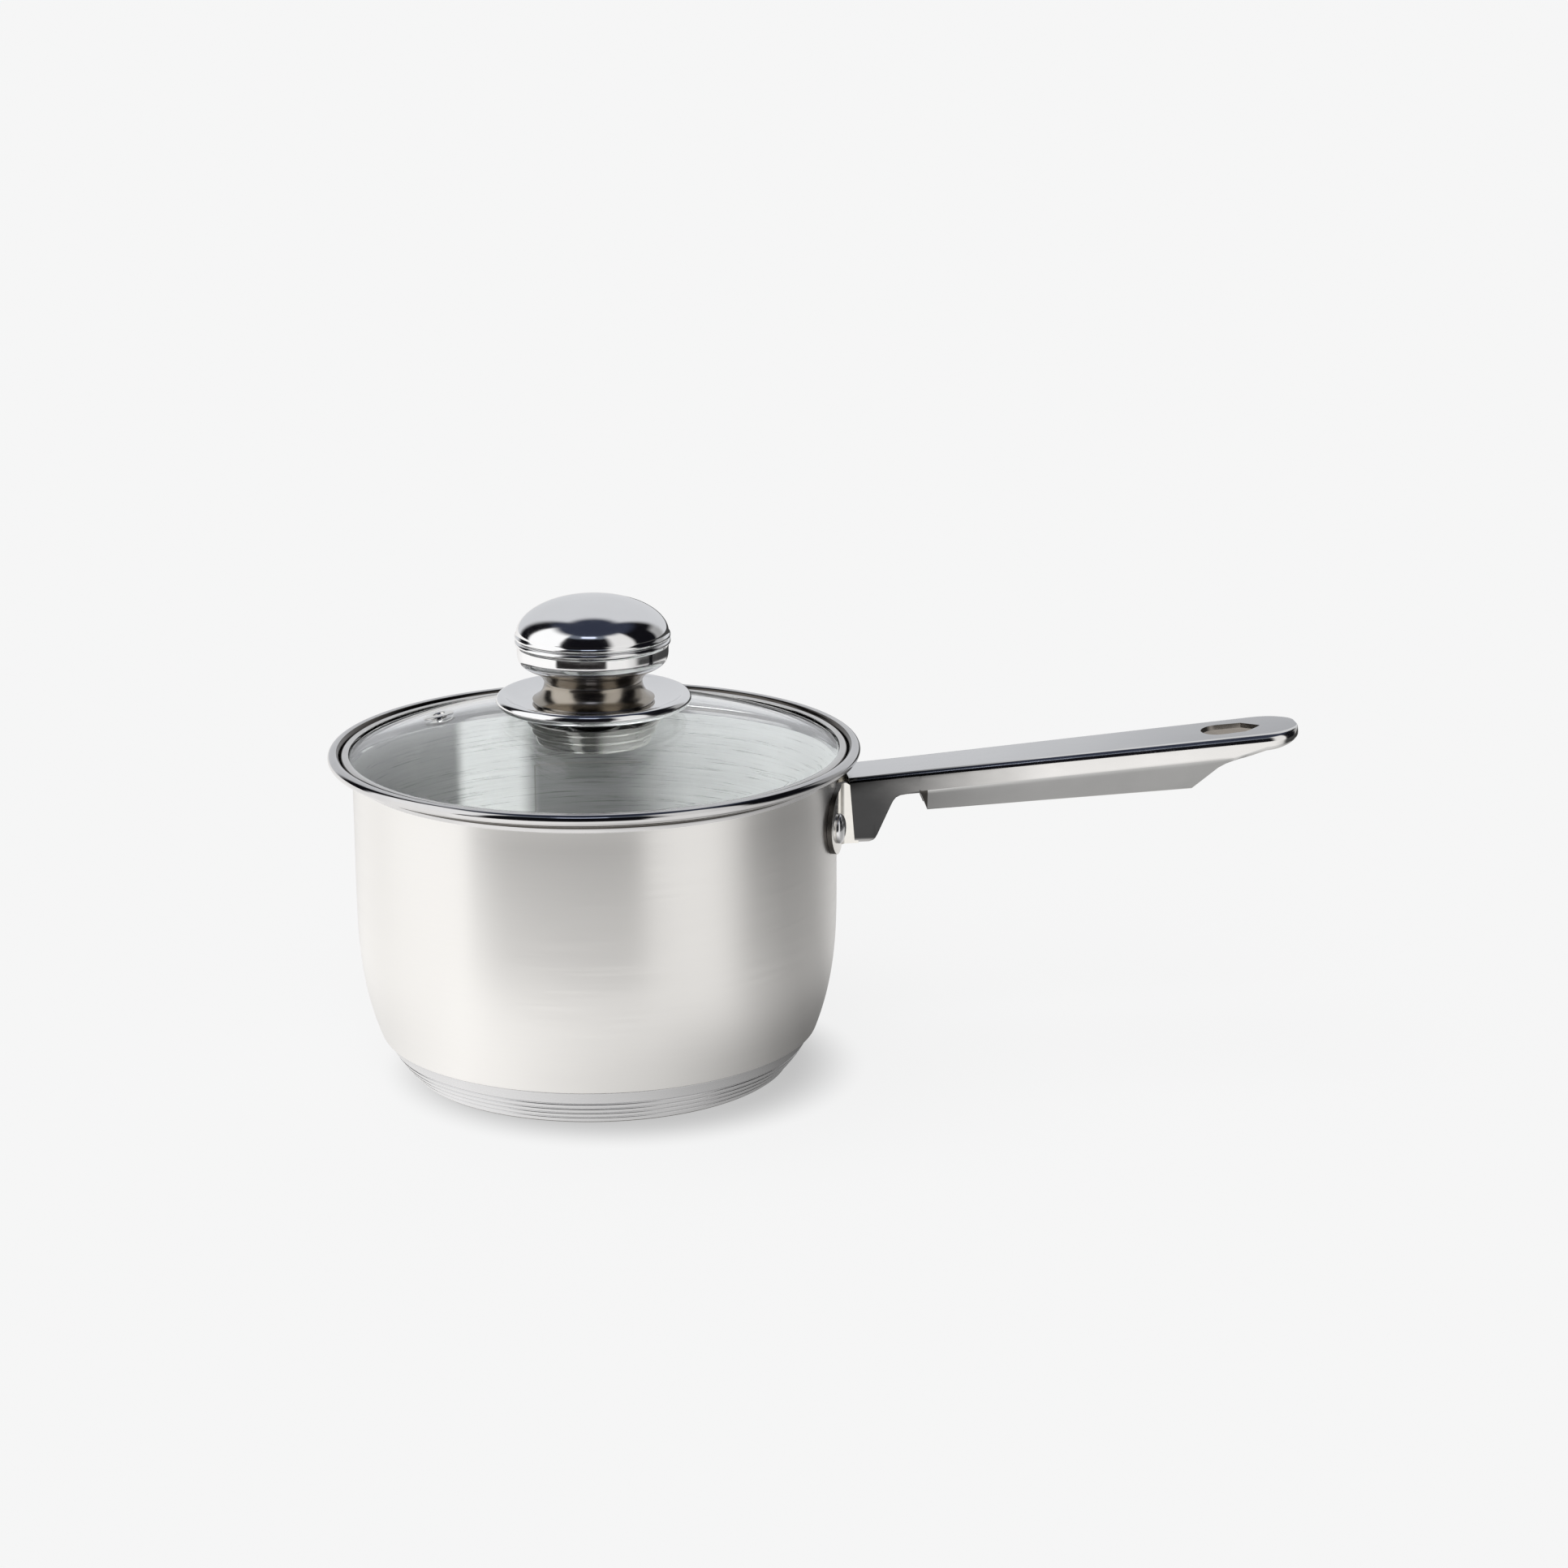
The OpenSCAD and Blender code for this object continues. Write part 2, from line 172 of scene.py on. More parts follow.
def round_end(path, i, thickness, turn):
    """The half-round nose at one end of a sheet section, without its two corner points."""
    start = side_of(path, i, thickness / 2 * turn)
    centre = path[i]
    begin = math.atan2(start[1] - centre[1], start[0] - centre[0])
    return [
        (centre[0] + thickness / 2 * math.cos(begin - math.pi * k / 4),
         centre[1] + thickness / 2 * math.sin(begin - math.pi * k / 4))
        for k in (1, 2, 3)
    ]


def sheet(path, thickness, nose_start=False, nose_end=False):
    """A closed outline of even thickness round a middle line, with half-round free edges if asked."""
    last = len(path) - 1
    left = [side_of(path, i, thickness / 2) for i in range(last + 1)]
    right = [side_of(path, i, -thickness / 2) for i in range(last, -1, -1)]
    front = round_end(path, last, thickness, 1) if nose_end else []
    back = round_end(path, 0, thickness, -1) if nose_start else []
    return left + front + right + back


def smooth_path(points, steps=6):
    """A Catmull-Rom curve through given points."""
    ends = [points[0]] + list(points) + [points[-1]]
    out = []
    for i in range(1, len(ends) - 2):
        p0, p1, p2, p3 = ends[i - 1:i + 3]
        for k in range(steps):
            t = k / steps
            out.append(tuple(
                0.5 * (2 * p1[j] + (p2[j] - p0[j]) * t
                       + (2 * p0[j] - 5 * p1[j] + 4 * p2[j] - p3[j]) * t * t
                       + (3 * p1[j] - p0[j] - 3 * p2[j] + p3[j]) * t ** 3)
                for j in (0, 1)))
    return out + [tuple(points[-1])]


# ---------------------------------------------------------------- meshes
def make_piece(name, verts, faces, materials, face_material=None, sharp=38):
    """A smooth-shaded mesh object in metres, from millimetre points."""
    mesh = bpy.data.meshes.new(name)
    mesh.from_pydata([Vector(v) * MM for v in verts], [], faces)
    for material in materials:
        mesh.materials.append(material)
    if face_material:
        mesh.polygons.foreach_set("material_index", face_material)
    mesh.validate()
    mesh.update()
    for polygon in mesh.polygons:
        polygon.use_smooth = True
    mesh.set_sharp_from_angle(angle=math.radians(sharp))
    piece = bpy.data.objects.new(name, mesh)
    bpy.context.scene.collection.objects.link(piece)
    return piece


def turned(name, outline, materials, zone=None, place=None, turns=TURNS, sharp=38):
    """A solid of revolution from a closed outline of (radius, height) points.

    zone(r, z) gives the material index of the stretch whose middle is there, and place moves the
    finished points, for a piece whose axis isn't Z.
    """
    verts, rings = [], []
    for r, z in outline:
        if r < 1e-6:
            rings.append([len(verts)] * turns)
            verts.append((0, 0, z))
        else:
            rings.append(list(range(len(verts), len(verts) + turns)))
            verts += [(r * math.cos(2 * math.pi * k / turns), r * math.sin(2 * math.pi * k / turns), z)
                      for k in range(turns)]
    faces, indices = [], []
    for i in range(len(outline)):
        a, b = rings[i], rings[(i + 1) % len(outline)]
        middle = [(outline[i][j] + outline[(i + 1) % len(outline)][j]) / 2 for j in (0, 1)]
        if a[0] == a[1] and b[0] == b[1]:
            continue
        index = zone(*middle) if zone else 0
        for k in range(turns):
            n = (k + 1) % turns
            corners = [a[k], a[n], b[n], b[k]]
            faces.append([c for j, c in enumerate(corners) if c != corners[j - 1]])
            indices.append(index)
    if signed_area(outline) < 0:
        faces = [f[::-1] for f in faces]
    if place:
        verts = [place @ Vector(v) for v in verts]
    return make_piece(name, verts, faces, materials, indices, sharp)


def signed_area(outline):
    """Positive when the outline runs anticlockwise."""
    return sum(a[0] * b[1] - b[0] * a[1] for a, b in zip(outline, outline[1:] + outline[:1])) / 2


def place_piece(piece, body, slot, *nodes):
    """Rides a finished piece on its body, in place of CAD nodes."""
    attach(piece, body)
    if nodes:
        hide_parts(*nodes)
    return piece


# ---------------------------------------------------------------- shader helpers
class Nodes:
    """A small wrapper that adds, links and reckons with the nodes of one tree."""

    def __init__(self, tree):
        self.tree = tree

    def add(self, kind, **values):
        node = self.tree.nodes.new(kind)
        for key, value in values.items():
            setattr(node, key, value)
        return node

    def link(self, source, target):
        self.tree.links.new(source, target)

    def math(self, operation, *values):
        node = self.add("ShaderNodeMath", operation=operation)
        for socket, value in zip(node.inputs, values):
            if isinstance(value, (int, float)):
                socket.default_value = value
            else:
                self.link(value, socket)
        return node.outputs[0]

    def mapped(self, value, low, high, from_low=0.3, from_high=0.7):
        """Low up to from_low, high from from_high on, and a smooth change between them."""
        node = self.add("ShaderNodeMapRange", interpolation_type="SMOOTHSTEP")
        node.inputs["From Min"].default_value = from_low
        node.inputs["From Max"].default_value = from_high
        node.inputs["To Min"].default_value = low
        node.inputs["To Max"].default_value = high
        self.link(value, node.inputs["Value"])
        return node.outputs["Result"]

    def mixed(self, factor, first, second):
        """From the first colour to the second; each is a tuple or a socket."""
        node = self.add("ShaderNodeMix", data_type="RGBA")
        for name, colour in (("A", first), ("B", second)):
            if isinstance(colour, tuple):
                node.inputs[name].default_value = (*colour, 1)
            else:
                self.link(colour, node.inputs[name])
        self.link(factor, node.inputs["Factor"])
        return node.outputs["Result"]

    def split(self, vector):
        parts = self.add("ShaderNodeSeparateXYZ")
        self.link(vector, parts.inputs[0])
        return parts.outputs


class Shader(Nodes):
    """One material's nodes round its Principled BSDF."""

    def __init__(self, name, colour, metallic=0.0, roughness=0.4, **sockets):
        self.material = bpy.data.materials.new(name)
        self.material.use_nodes = True
        super().__init__(self.material.node_tree)
        self.base = self.tree.nodes["Principled BSDF"]
        self.base.inputs["Base Color"].default_value = (*colour, 1)
        self.base.inputs["Metallic"].default_value = metallic
        self.base.inputs["Roughness"].default_value = roughness
        for socket, value in sockets.items():
            self.base.inputs[socket.replace("_", " ")].default_value = value
        self.place = self.add("ShaderNodeTexCoord").outputs["Object"]

    def stretched(self, scale):
        """Object coordinates in metres, scaled per axis."""
        node = self.add("ShaderNodeMapping")
        node.inputs["Scale"].default_value = scale
        self.link(self.place, node.inputs["Vector"])
        return node.outputs["Vector"]

    def noise(self, scale, detail=4.0, roughness=0.6):
        """Noise whose grain is 1 / scale metres long on each axis."""
        node = self.add("ShaderNodeTexNoise")
        node.inputs["Scale"].default_value = 1.0
        node.inputs["Detail"].default_value = detail
        node.inputs["Roughness"].default_value = roughness
        self.link(self.stretched(scale), node.inputs["Vector"])
        return node.outputs["Fac"]

    def weighed(self, first, share, second):
        """The first value's share plus the rest of the second."""
        rest = round(1 - share, 6)
        return self.math("ADD", self.math("MULTIPLY", first, share), self.math("MULTIPLY", second, rest))

    def bump(self, height, strength, distance=0.0001):
        node = self.add("ShaderNodeBump")
        node.inputs["Strength"].default_value = strength
        node.inputs["Distance"].default_value = distance
        self.link(height, node.inputs["Height"])
        self.link(node.outputs["Normal"], self.base.inputs["Normal"])

    def colour(self, socket):
        self.link(socket, self.base.inputs["Base Color"])

    def rough(self, socket):
        self.link(socket, self.base.inputs["Roughness"])


def brushed(name, dark, light, grain, rough, depth, metallic=1.0, stretch=0.0):
    """Steel with fine lines: grain is the scale per axis, and lines run where it is small.

    stretch pulls highlights along Z, across lines that run round the Z axis.
    """
    s = Shader(name, light, metallic=metallic)
    if stretch:
        s.base.inputs["Anisotropic"].default_value = stretch
        s.base.inputs["Anisotropic Rotation"].default_value = 0.25
        tangent = s.add("ShaderNodeTangent", direction_type="RADIAL", axis="Z")
        s.link(tangent.outputs[0], s.base.inputs["Tangent"])
    lines = s.noise(grain, detail=6.0, roughness=0.7)
    clouds = s.noise((22, 22, 22), detail=3.0)
    s.colour(s.mixed(s.weighed(lines, 0.6, clouds), dark, light))
    worn = s.math("ADD", lines, s.math("MULTIPLY", clouds, 0.3))
    s.rough(s.mapped(worn, *rough, from_low=0.4, from_high=0.9))
    s.bump(lines, depth)
    return s.material


def polished(name, dark, light, rough, grain=(300, 300, 900)):
    """Near-mirror steel with wiping marks and faint tone drift."""
    s = Shader(name, light, metallic=1.0)
    marks = s.noise(grain, detail=5.0)
    clouds = s.noise((45, 45, 45), detail=3.0)
    s.colour(s.mixed(clouds, dark, light))
    s.rough(s.mapped(s.math("MULTIPLY", marks, clouds), *rough, from_low=0.12, from_high=0.42))
    s.bump(clouds, 0.02, 0.0005)
    return s.material


def make_glass():
    """Clear tempered glass that lets lamp light through to what is under it."""
    s = Shader("lid_glass_clear", (0.985, 0.997, 1.0), roughness=0.0, IOR=1.2,
               Transmission_Weight=1.0)
    smears = s.noise((60, 60, 60), detail=4.0)
    s.rough(s.mapped(smears, 0.0, 0.012, from_low=0.45, from_high=0.8))
    clear = s.add("ShaderNodeBsdfTransparent")
    clear.inputs["Color"].default_value = (0.93, 0.96, 0.965, 1)
    path = s.add("ShaderNodeLightPath")
    mix = s.add("ShaderNodeMixShader")
    s.link(path.outputs["Is Shadow Ray"], mix.inputs["Fac"])
    s.link(s.base.outputs["BSDF"], mix.inputs[1])
    s.link(clear.outputs["BSDF"], mix.inputs[2])
    s.link(mix.outputs["Shader"], s.tree.nodes["Material Output"].inputs["Surface"])
    return s.material


def make_inside():
    """The pot's inner face: brushed round the axis, painted sheen in two wide bands and painted shade
    elsewhere, with a thin dark frame of lines.
    """
    s = Shader("inside_brushed_painted_sheen", (0.8, 0.8, 0.8), metallic=0.5)
    fine = s.noise((40, 40, 2200), detail=5.0, roughness=0.7)
    coarse = s.noise((24, 24, 900), detail=5.0, roughness=0.7)
    streaks = s.mapped(s.weighed(fine, 0.62, coarse), 0, 1, from_low=0.34, from_high=0.66)
    x, y, z = s.split(s.place)
    along_x = s.math("MULTIPLY", x, math.cos(VIEW_AZ))
    across = s.math("SUBTRACT", along_x, s.math("MULTIPLY", y, math.sin(VIEW_AZ)))
    # painted sheen: two wide bands of bright colour stand in for light mirrored in the inner wall; the dull
    # colour elsewhere is painted shade
    left_sheen_band = s.math("SUBTRACT", s.mapped(across, 0, 1, -0.050, -0.046),
                       s.mapped(across, 0, 1, -0.030, -0.022))
    right_sheen_band = s.mapped(across, 0, 0.9, 0.002, 0.030)
    dull = s.mixed(streaks, (0.17, 0.17, 0.165), (0.24, 0.24, 0.235))
    bright = s.mixed(streaks, (0.80, 0.80, 0.785), (0.95, 0.95, 0.935))
    sheen = s.mixed(s.math("MAXIMUM", left_sheen_band, right_sheen_band), dull, bright)
    # a thin dark frame of lines over the inner face's colour
    s.colour(s.mixed(dark_frame_lines(s, across, y, z), sheen, (0.22, 0.21, 0.20)))
    s.rough(s.mapped(streaks, 0.26, 0.42, from_low=0.0, from_high=1.0))
    s.bump(fine, 0.03)
    return s.material


def dark_frame_lines(s, across, y, z):
    """1 on the left side and the top of the thin dark frame, on the far half of the pot, else 0."""
    from_left = s.math("ABSOLUTE", s.math("SUBTRACT", across, FRAME_LINE_LEFT))
    side = s.math("MULTIPLY", s.math("LESS_THAN", from_left, FRAME_LINE_HALF), s.math("LESS_THAN", z, FRAME_LINE_TOP))
    from_top = s.math("ABSOLUTE", s.math("SUBTRACT", z, FRAME_LINE_TOP))
    top = s.math("LESS_THAN", from_top, FRAME_LINE_HALF)
    top = s.math("MULTIPLY", top, s.math("GREATER_THAN", across, FRAME_LINE_LEFT))
    top = s.math("MULTIPLY", top, s.math("LESS_THAN", across, FRAME_LINE_RIGHT))
    return s.math("MULTIPLY", s.math("MAXIMUM", side, top), s.math("GREATER_THAN", y, 0.02))


def make_plate_side():
    """Polished side of the handle: a painted dark reflection at the gusset, but for a painted highlight on
    its lower lip, and clear after.
    """
    s = Shader("handle_polished", (0.8, 0.8, 0.8), metallic=1.0)
    marks = s.noise((200, 500, 500), detail=5.0)
    clouds = s.noise((40, 70, 70), detail=3.0)
    x, _, z = s.split(s.place)
    # painted dark reflection over the gusset, fading out further along the handle
    along = s.math("ADD", x, s.math("MULTIPLY", clouds, 0.016))
    low = s.mapped(z, 0, 0.010, from_low=0.074, from_high=0.094)
    clear = s.mapped(s.math("ADD", along, low), 0, 1, from_low=0.098, from_high=0.168)
    # painted highlight along the gusset's lower lip
    lip = s.mapped(z, 0.85, 0, from_low=0.0726, from_high=0.0740)
    steel = s.mixed(clouds, (0.76, 0.75, 0.74), (0.92, 0.91, 0.90))
    s.colour(s.mixed(s.math("MAXIMUM", clear, lip), (0.065, 0.065, 0.066), steel))
    s.rough(s.mapped(s.math("MULTIPLY", marks, clouds), 0.08, 0.16, from_low=0.12, from_high=0.42))
    return s.material


def make_plate_top():
    """Satin top of the handle, a little duller towards the tip."""
    s = Shader("handle_top_satin", (0.6, 0.6, 0.6), metallic=1.0)
    grain = s.noise((60, 900, 900), detail=5.0)
    clouds = s.noise((30, 60, 60), detail=3.0)
    worn = s.math("ADD", s.split(s.place)[0], s.math("MULTIPLY", clouds, 0.03))
    fade = s.mapped(worn, 0, 1, from_low=0.13, from_high=0.245)
    s.colour(s.mixed(fade, s.mixed(grain, (0.68, 0.68, 0.685), (0.78, 0.78, 0.785)), (0.48, 0.48, 0.49)))
    s.rough(s.mapped(grain, 0.12, 0.2))
    return s.material


def make_silicone():
    s = Shader("silicone_dark", (0.03, 0.03, 0.032), roughness=0.55)
    grain = s.noise((900, 900, 900))
    s.colour(s.mixed(grain, (0.02, 0.02, 0.022), (0.05, 0.05, 0.053)))
    s.rough(s.mapped(grain, 0.45, 0.7))
    s.bump(grain, 0.15)
    return s.material


SATIN_WALL = brushed("wall_satin", (0.80, 0.79, 0.775), (0.86, 0.85, 0.835), (30, 30, 900),
                     (0.30, 0.36), 0.01, stretch=0.7)
INSIDE = make_inside()
RIM_POLISH = polished("rim_polished", (0.52, 0.52, 0.53), (0.72, 0.71, 0.71), (0.04, 0.10))
RIM_SHADE = polished("rim_inner_shade", (0.05, 0.045, 0.04), (0.12, 0.11, 0.10), (0.15, 0.25))
BASE_TURNED = brushed("base_turned", (0.62, 0.62, 0.63), (0.70, 0.70, 0.71), (12, 12, 700),
                      (0.24, 0.30), 0.0)
CORE = brushed("core_cast", (0.62, 0.62, 0.62), (0.78, 0.78, 0.78), (700, 700, 700), (0.4, 0.6), 0.2)
PLATE = make_plate_side()
PLATE_GRAIN = (200, 500, 500)
# painted shade: a dark, brownish copy of the handle's steel for the channel's inner face and the slot's walls
PLATE_INNER_SHADE = polished("handle_inner_painted_shade", (0.24, 0.22, 0.20), (0.40, 0.37, 0.34), (0.2, 0.3), PLATE_GRAIN)
PLATE_TOP = make_plate_top()
PANEL = polished("handle_lower_panel", (0.60, 0.60, 0.60), (0.76, 0.76, 0.755), (0.16, 0.24), PLATE_GRAIN)
EAR_POLISH = polished("ear_polished", (0.80, 0.78, 0.74), (0.92, 0.90, 0.86), (0.06, 0.16))
# painted shade: near-black steel for the ears' cut edges, the handle's sloped edge strips and the base cap's
# bottom rim
EDGE_SHADE = brushed("edge_painted_shade", (0.06, 0.055, 0.05), (0.16, 0.15, 0.14), (500, 500, 500), (0.3, 0.5), 0.1)
RIVET = polished("rivet_polished", (0.66, 0.66, 0.67), (0.84, 0.84, 0.85), (0.12, 0.22))
BAND = polished("band_polished", (0.54, 0.53, 0.52), (0.74, 0.73, 0.72), (0.05, 0.12))
EYELET = polished("eyelet_polished", (0.80, 0.79, 0.77), (0.92, 0.91, 0.90), (0.06, 0.16))
UNDER = polished("under_cup_pressed", (0.44, 0.43, 0.41), (0.62, 0.61, 0.59), (0.08, 0.18))
CHROME = polished("knob_mirror", (0.80, 0.80, 0.805), (0.90, 0.90, 0.91), (0.07, 0.13))
# painted reflection: a dark, warm copy of the knob's chrome for the neck and the cup's cone
CHROME_DARK_REFLECTION = polished("knob_neck_painted_reflection", (0.30, 0.27, 0.225), (0.45, 0.41, 0.36), (0.15, 0.25))
FASTENER = brushed("fastener_plated", (0.55, 0.55, 0.54), (0.72, 0.72, 0.71), (900, 900, 900),
                   (0.3, 0.45), 0.1)
SILICONE = make_silicone()
GLASS = make_glass()


# ---------------------------------------------------------------- pan
def wall_mid(z):
    """Radius of the wall's middle line, which draws in below the bulge."""
    drop = max(BULGE_TOP_Z - z, 0) / (BULGE_TOP_Z - STEP_Z)
    return WALL_R - PAN_T / 2 - BULGE_IN * drop ** BULGE_POWER


def pan_path():
    """Middle line of the pot's sheet, from the floor's centre to the end of the rim's curl."""
    floor_mid = FLOOR_Z + PAN_T / 2
    step_r = wall_mid(STEP_Z) - STEP_IN
    corner = (step_r - FLOOR_CORNER_R * math.cos(math.radians(21)), floor_mid + FLOOR_CORNER_R)
    floor = [(0, floor_mid), (20, floor_mid), (40, floor_mid)] + arc(corner, FLOOR_CORNER_R, -90, -21, 18)
    step = [(step_r + 0.15, STEP_Z - 0.35), (wall_mid(STEP_Z) - 0.7, STEP_Z - 0.08),
            (wall_mid(STEP_Z) - 0.25, STEP_Z + 0.02), (wall_mid(STEP_Z) + 0.02, STEP_Z + 0.18)]
    wall = [(wall_mid(z), z) for z in [STEP_Z + 0.5 + 1.3 * i for i in range(37)]]
    straight = [(wall_mid(z), z) for z in range(62, 97, 5)]
    flare_c = (WALL_R - PAN_T / 2 + FLARE_R, FLARE_Z)
    flare = arc(flare_c, FLARE_R, 180, 180 - FLARE_ANGLE, 14)
    bead_c = (RIM_R - BEAD_R, RIM_Z - BEAD_R)
    mid = BEAD_R - PAN_T / 2
    rise = smooth_path([flare[-1], (bead_c[0] - mid - 0.62, flare[-1][1] + 0.36),
                        (bead_c[0] - mid - 0.06, flare[-1][1] + 0.95), (bead_c[0] - mid, bead_c[1])], 5)
    return floor + step + wall + straight + flare + rise[1:-1] + arc(bead_c, mid, 180, -110, 34)


def make_pan():
    satin, polish, inside, shade = range(4)

    def zone(r, z):
        if z > FLARE_Z + 0.2:
            in_gap = r < RIM_R - 2 * BEAD_R + 0.9 and z > FLARE_Z + 1.5
            return shade if in_gap else polish
        if z < STEP_Z + 0.12 and r > wall_mid(STEP_Z) - STEP_IN + 0.2:
            return shade
        if z > STEP_Z + 0.5:
            return inside if r < wall_mid(z) else satin
        on_floor = z > FLOOR_Z + PAN_T / 2 and r < wall_mid(STEP_Z) - 1.9
        return inside if on_floor else satin

    outline = sheet(pan_path(), PAN_T, nose_end=True)
    pan = turned("pan_skin", outline, [SATIN_WALL, RIM_POLISH, INSIDE, RIM_SHADE], zone)
    place_piece(pan, "pan", "pan_steel", "pan_body")


def cap_mid(z):
    """Radius of the base cap's middle line."""
    k = (z - CAP_HEEL_Z) / (CAP_TOP_Z - CAP_HEEL_Z)
    bottom, top = CAP_BOTTOM_R - CAP_T / 2, CAP_TOP_R - CAP_T / 2
    return bottom + (top - bottom) * k + CAP_BOW * math.sin(math.pi * k)


def make_base_cap():
    """The cap's outline, with a rounded groove cut into its outer face at each groove height."""
    heights = [CAP_HEEL_Z + (CAP_TOP_Z - CAP_HEEL_Z) * i / 20 for i in range(21)]
    heel = CAP_BOTTOM_R - CAP_T / 2
    path = [(0, CAP_T / 2), (30, CAP_T / 2), (heel - 1.3, CAP_T / 2), (heel - 0.75, CAP_T / 2 + 0.09),
            (heel - 0.3, CAP_T / 2 + 0.42)]
    inner_path = path + [(cap_mid(z), z) for z in heights]
    inner = [side_of(inner_path, i, CAP_T / 2) for i in range(len(inner_path))]
    cut_heights = {z for z in heights for g in GROOVES if abs(z - g) < GROOVE_HALF + 0.1}
    outer_path = path + [(cap_mid(z), z) for z in sorted(set(heights[:-1]) - cut_heights)]
    outer = [side_of(outer_path, i, -CAP_T / 2) for i in range(len(outer_path) - 1)]
    for g in GROOVES:
        for k in range(-4, 5):
            z = g + GROOVE_HALF * k / 4
            cut = GROOVE_DEPTH * math.cos(math.pi / 2 * k / 4)
            outer.append((cap_mid(z) + CAP_T / 2 + 0.02 - cut, z))
    bevel_z = CAP_TOP_Z - 0.25
    top = [(cap_mid(bevel_z) + CAP_T / 2, bevel_z), (cap_mid(CAP_TOP_Z) + 0.12, CAP_TOP_Z)]
    flat, rising = outer[:5], sorted(outer[5:], key=lambda p: p[1])
    outline = flat + rising + top + inner[::-1]

    def zone(r, z):
        # painted contact shade on the cap's bottom rim
        return int(z < 0.5 and r > CAP_BOTTOM_R - 2)

    cap = turned("base_cap_skin", outline, [BASE_TURNED, EDGE_SHADE], zone)
    place_piece(cap, "pan", "base_steel", "base_cap")


# ---------------------------------------------------------------- handle
DEPTHS = [  # distance along the handle, depth of its side, lean of the lower panel
    (0, 21.0, 0), (4.6, 21.35, 0), (5.9, 21.1, 0), (6.7, 20.5, 0), (7.5, 19.3, 0), (12.7, 10.0, 0),
    (13.4, 8.9, 0), (14.4, 7.9, 0), (15.8, 7.35, 0), (18, 7.2, 0), (22, 7.3, 0), (22.5, 7.9, 0.4),
    (23.0, 9.4, 0.62), (24.6, 14.3, 0.62), (40, 14.8, 0.62), (75, 15.9, 0.62), (110.5, 17, 0.62),
    (114, 13.9, 0.62), (118.6, 9.8, 0.62), (121, 8.5, 0.62), (123.5, 7.6, 0.62), (126, 7.0, 0.5),
    (128.9, 6.4, 0.3), (TIP_START, 5.2, 0),
]
TIP_DEPTH = 5.2
TIP_STEPS = 18
PANEL_START = 22.2
PANEL_FACE = 24.7
CHANNEL_MATERIALS = [PLATE, PLATE_TOP, PLATE_INNER_SHADE, EDGE_SHADE, PANEL]
SIDE_INDEX, TOP_INDEX, INNER_INDEX, EDGE_INDEX, PANEL_INDEX = range(5)


def run_half(s):
    """Half the top plate's width, which widens evenly from the taper's start to the tip."""
    k = max(s - TAPER_START, 0) / (TIP_START - TAPER_START)
    return ROOT_HALF + (TIP_HALF - ROOT_HALF) * k


def handle_rows():
    """Distance along, depth, lean and half width of each ring, with the rounded tip last."""
    rows = [(s, depth, lean, run_half(s)) for s, depth, lean in DEPTHS]
    for i in range(1, TIP_STEPS + 1):
        k = math.sin(math.pi / 2 * i / TIP_STEPS)
        width = TIP_HALF * (0.16 + 0.84 * math.sqrt(1 - (k * 0.985) ** 2.4))
        rows.append((TIP_START + (HANDLE_LEN - TIP_START) * k, TIP_DEPTH - 2.4 * k * k, 0, width))
    return rows


def half_section(s, depth, lean, half):
    """Middle line of one side of the folded sheet: top plate, shoulder, wall and lower panel."""
    inset = SHEET_T / 2
    soft_r = SHOULDER_R[0] + (SHOULDER_R[1] - SHOULDER_R[0]) * s / HANDLE_LEN
    shoulder = min(soft_r, half / 2, depth - inset - 0.5)
    knee = min(6.5, depth - inset - 0.3)
    foot = (half - inset - lean * max(depth - 6.5, 0), -depth + inset)
    curve = arc((half - shoulder, -shoulder), shoulder - inset, 90, 0, 10)
    soft = min(0.8, (knee - shoulder) / 2)
    toe = unit(foot[0] - (half - inset), foot[1] + knee)
    reach = min(1.2, (depth - inset - knee) / 2)
    bend = [(half - inset, -knee + soft), (half - inset + toe[0] * reach * 0.12, -knee + soft * 0.3),
            (half - inset + toe[0] * reach * 0.5, -knee + toe[1] * reach * 0.5),
            (half - inset + toe[0] * reach, -knee + toe[1] * reach)]
    return [(0, -inset)] + curve + bend + [foot]


def tilted(s, v, n):
    """A point given along, across and above the handle's top plate, in the frame's axes."""
    c, t = math.cos(TILT), math.sin(TILT)
    return PLATE_X + s * c - n * t, v, PLATE_Z + s * t + n * c


def strip_material(k, middle, s):
    """Material of strip k of a section ring, whose middle line ends at point middle on each side."""
    points = 2 * middle + 1
    if k in (middle - 1, middle):
        return TOP_INDEX
    # the sloped edge strips take the painted shade, then the lower panel
    if s > PANEL_START and (k < 3 or k > points - 5) and k < points + 2:
        return EDGE_INDEX if s < PANEL_FACE else PANEL_INDEX
    return INNER_INDEX if points + 2 < k < 2 * points + 2 else SIDE_INDEX


def make_channel():
    """The folded channel: each ring is the sheet's section, and the slot is cut through the plate."""
    verts, faces, rings = [], [], []
    rows = handle_rows()
    for s, depth, lean, half in rows:
        side = half_section(s, depth, lean, half)
        path = [(-x, y) for x, y in side[:0:-1]] + side
        section = sheet(path, SHEET_T, nose_start=True, nose_end=True)
        rings.append(list(range(len(verts), len(verts) + len(section))))
        verts += [tilted(s, x, y) for x, y in section]
    count = len(rings[0])
    for a, b in zip(rings, rings[1:]):
        faces += [(a[k], a[(k + 1) % count], b[(k + 1) % count], b[k]) for k in range(count)]
    faces += [tuple(rings[0][::-1]), tuple(rings[-1])]
    middle = len(half_section(*rows[0])) - 1
    indices = [strip_material(k, middle, row[0]) for row in rows[1:] for k in range(count)]
    indices += [SIDE_INDEX, SIDE_INDEX]
    channel = make_piece("handle_skin", verts, faces, CHANNEL_MATERIALS, indices, FOLD_SHARP)
    cut_slot(channel)
    return place_piece(channel, "pan", "handle_steel", "handle")


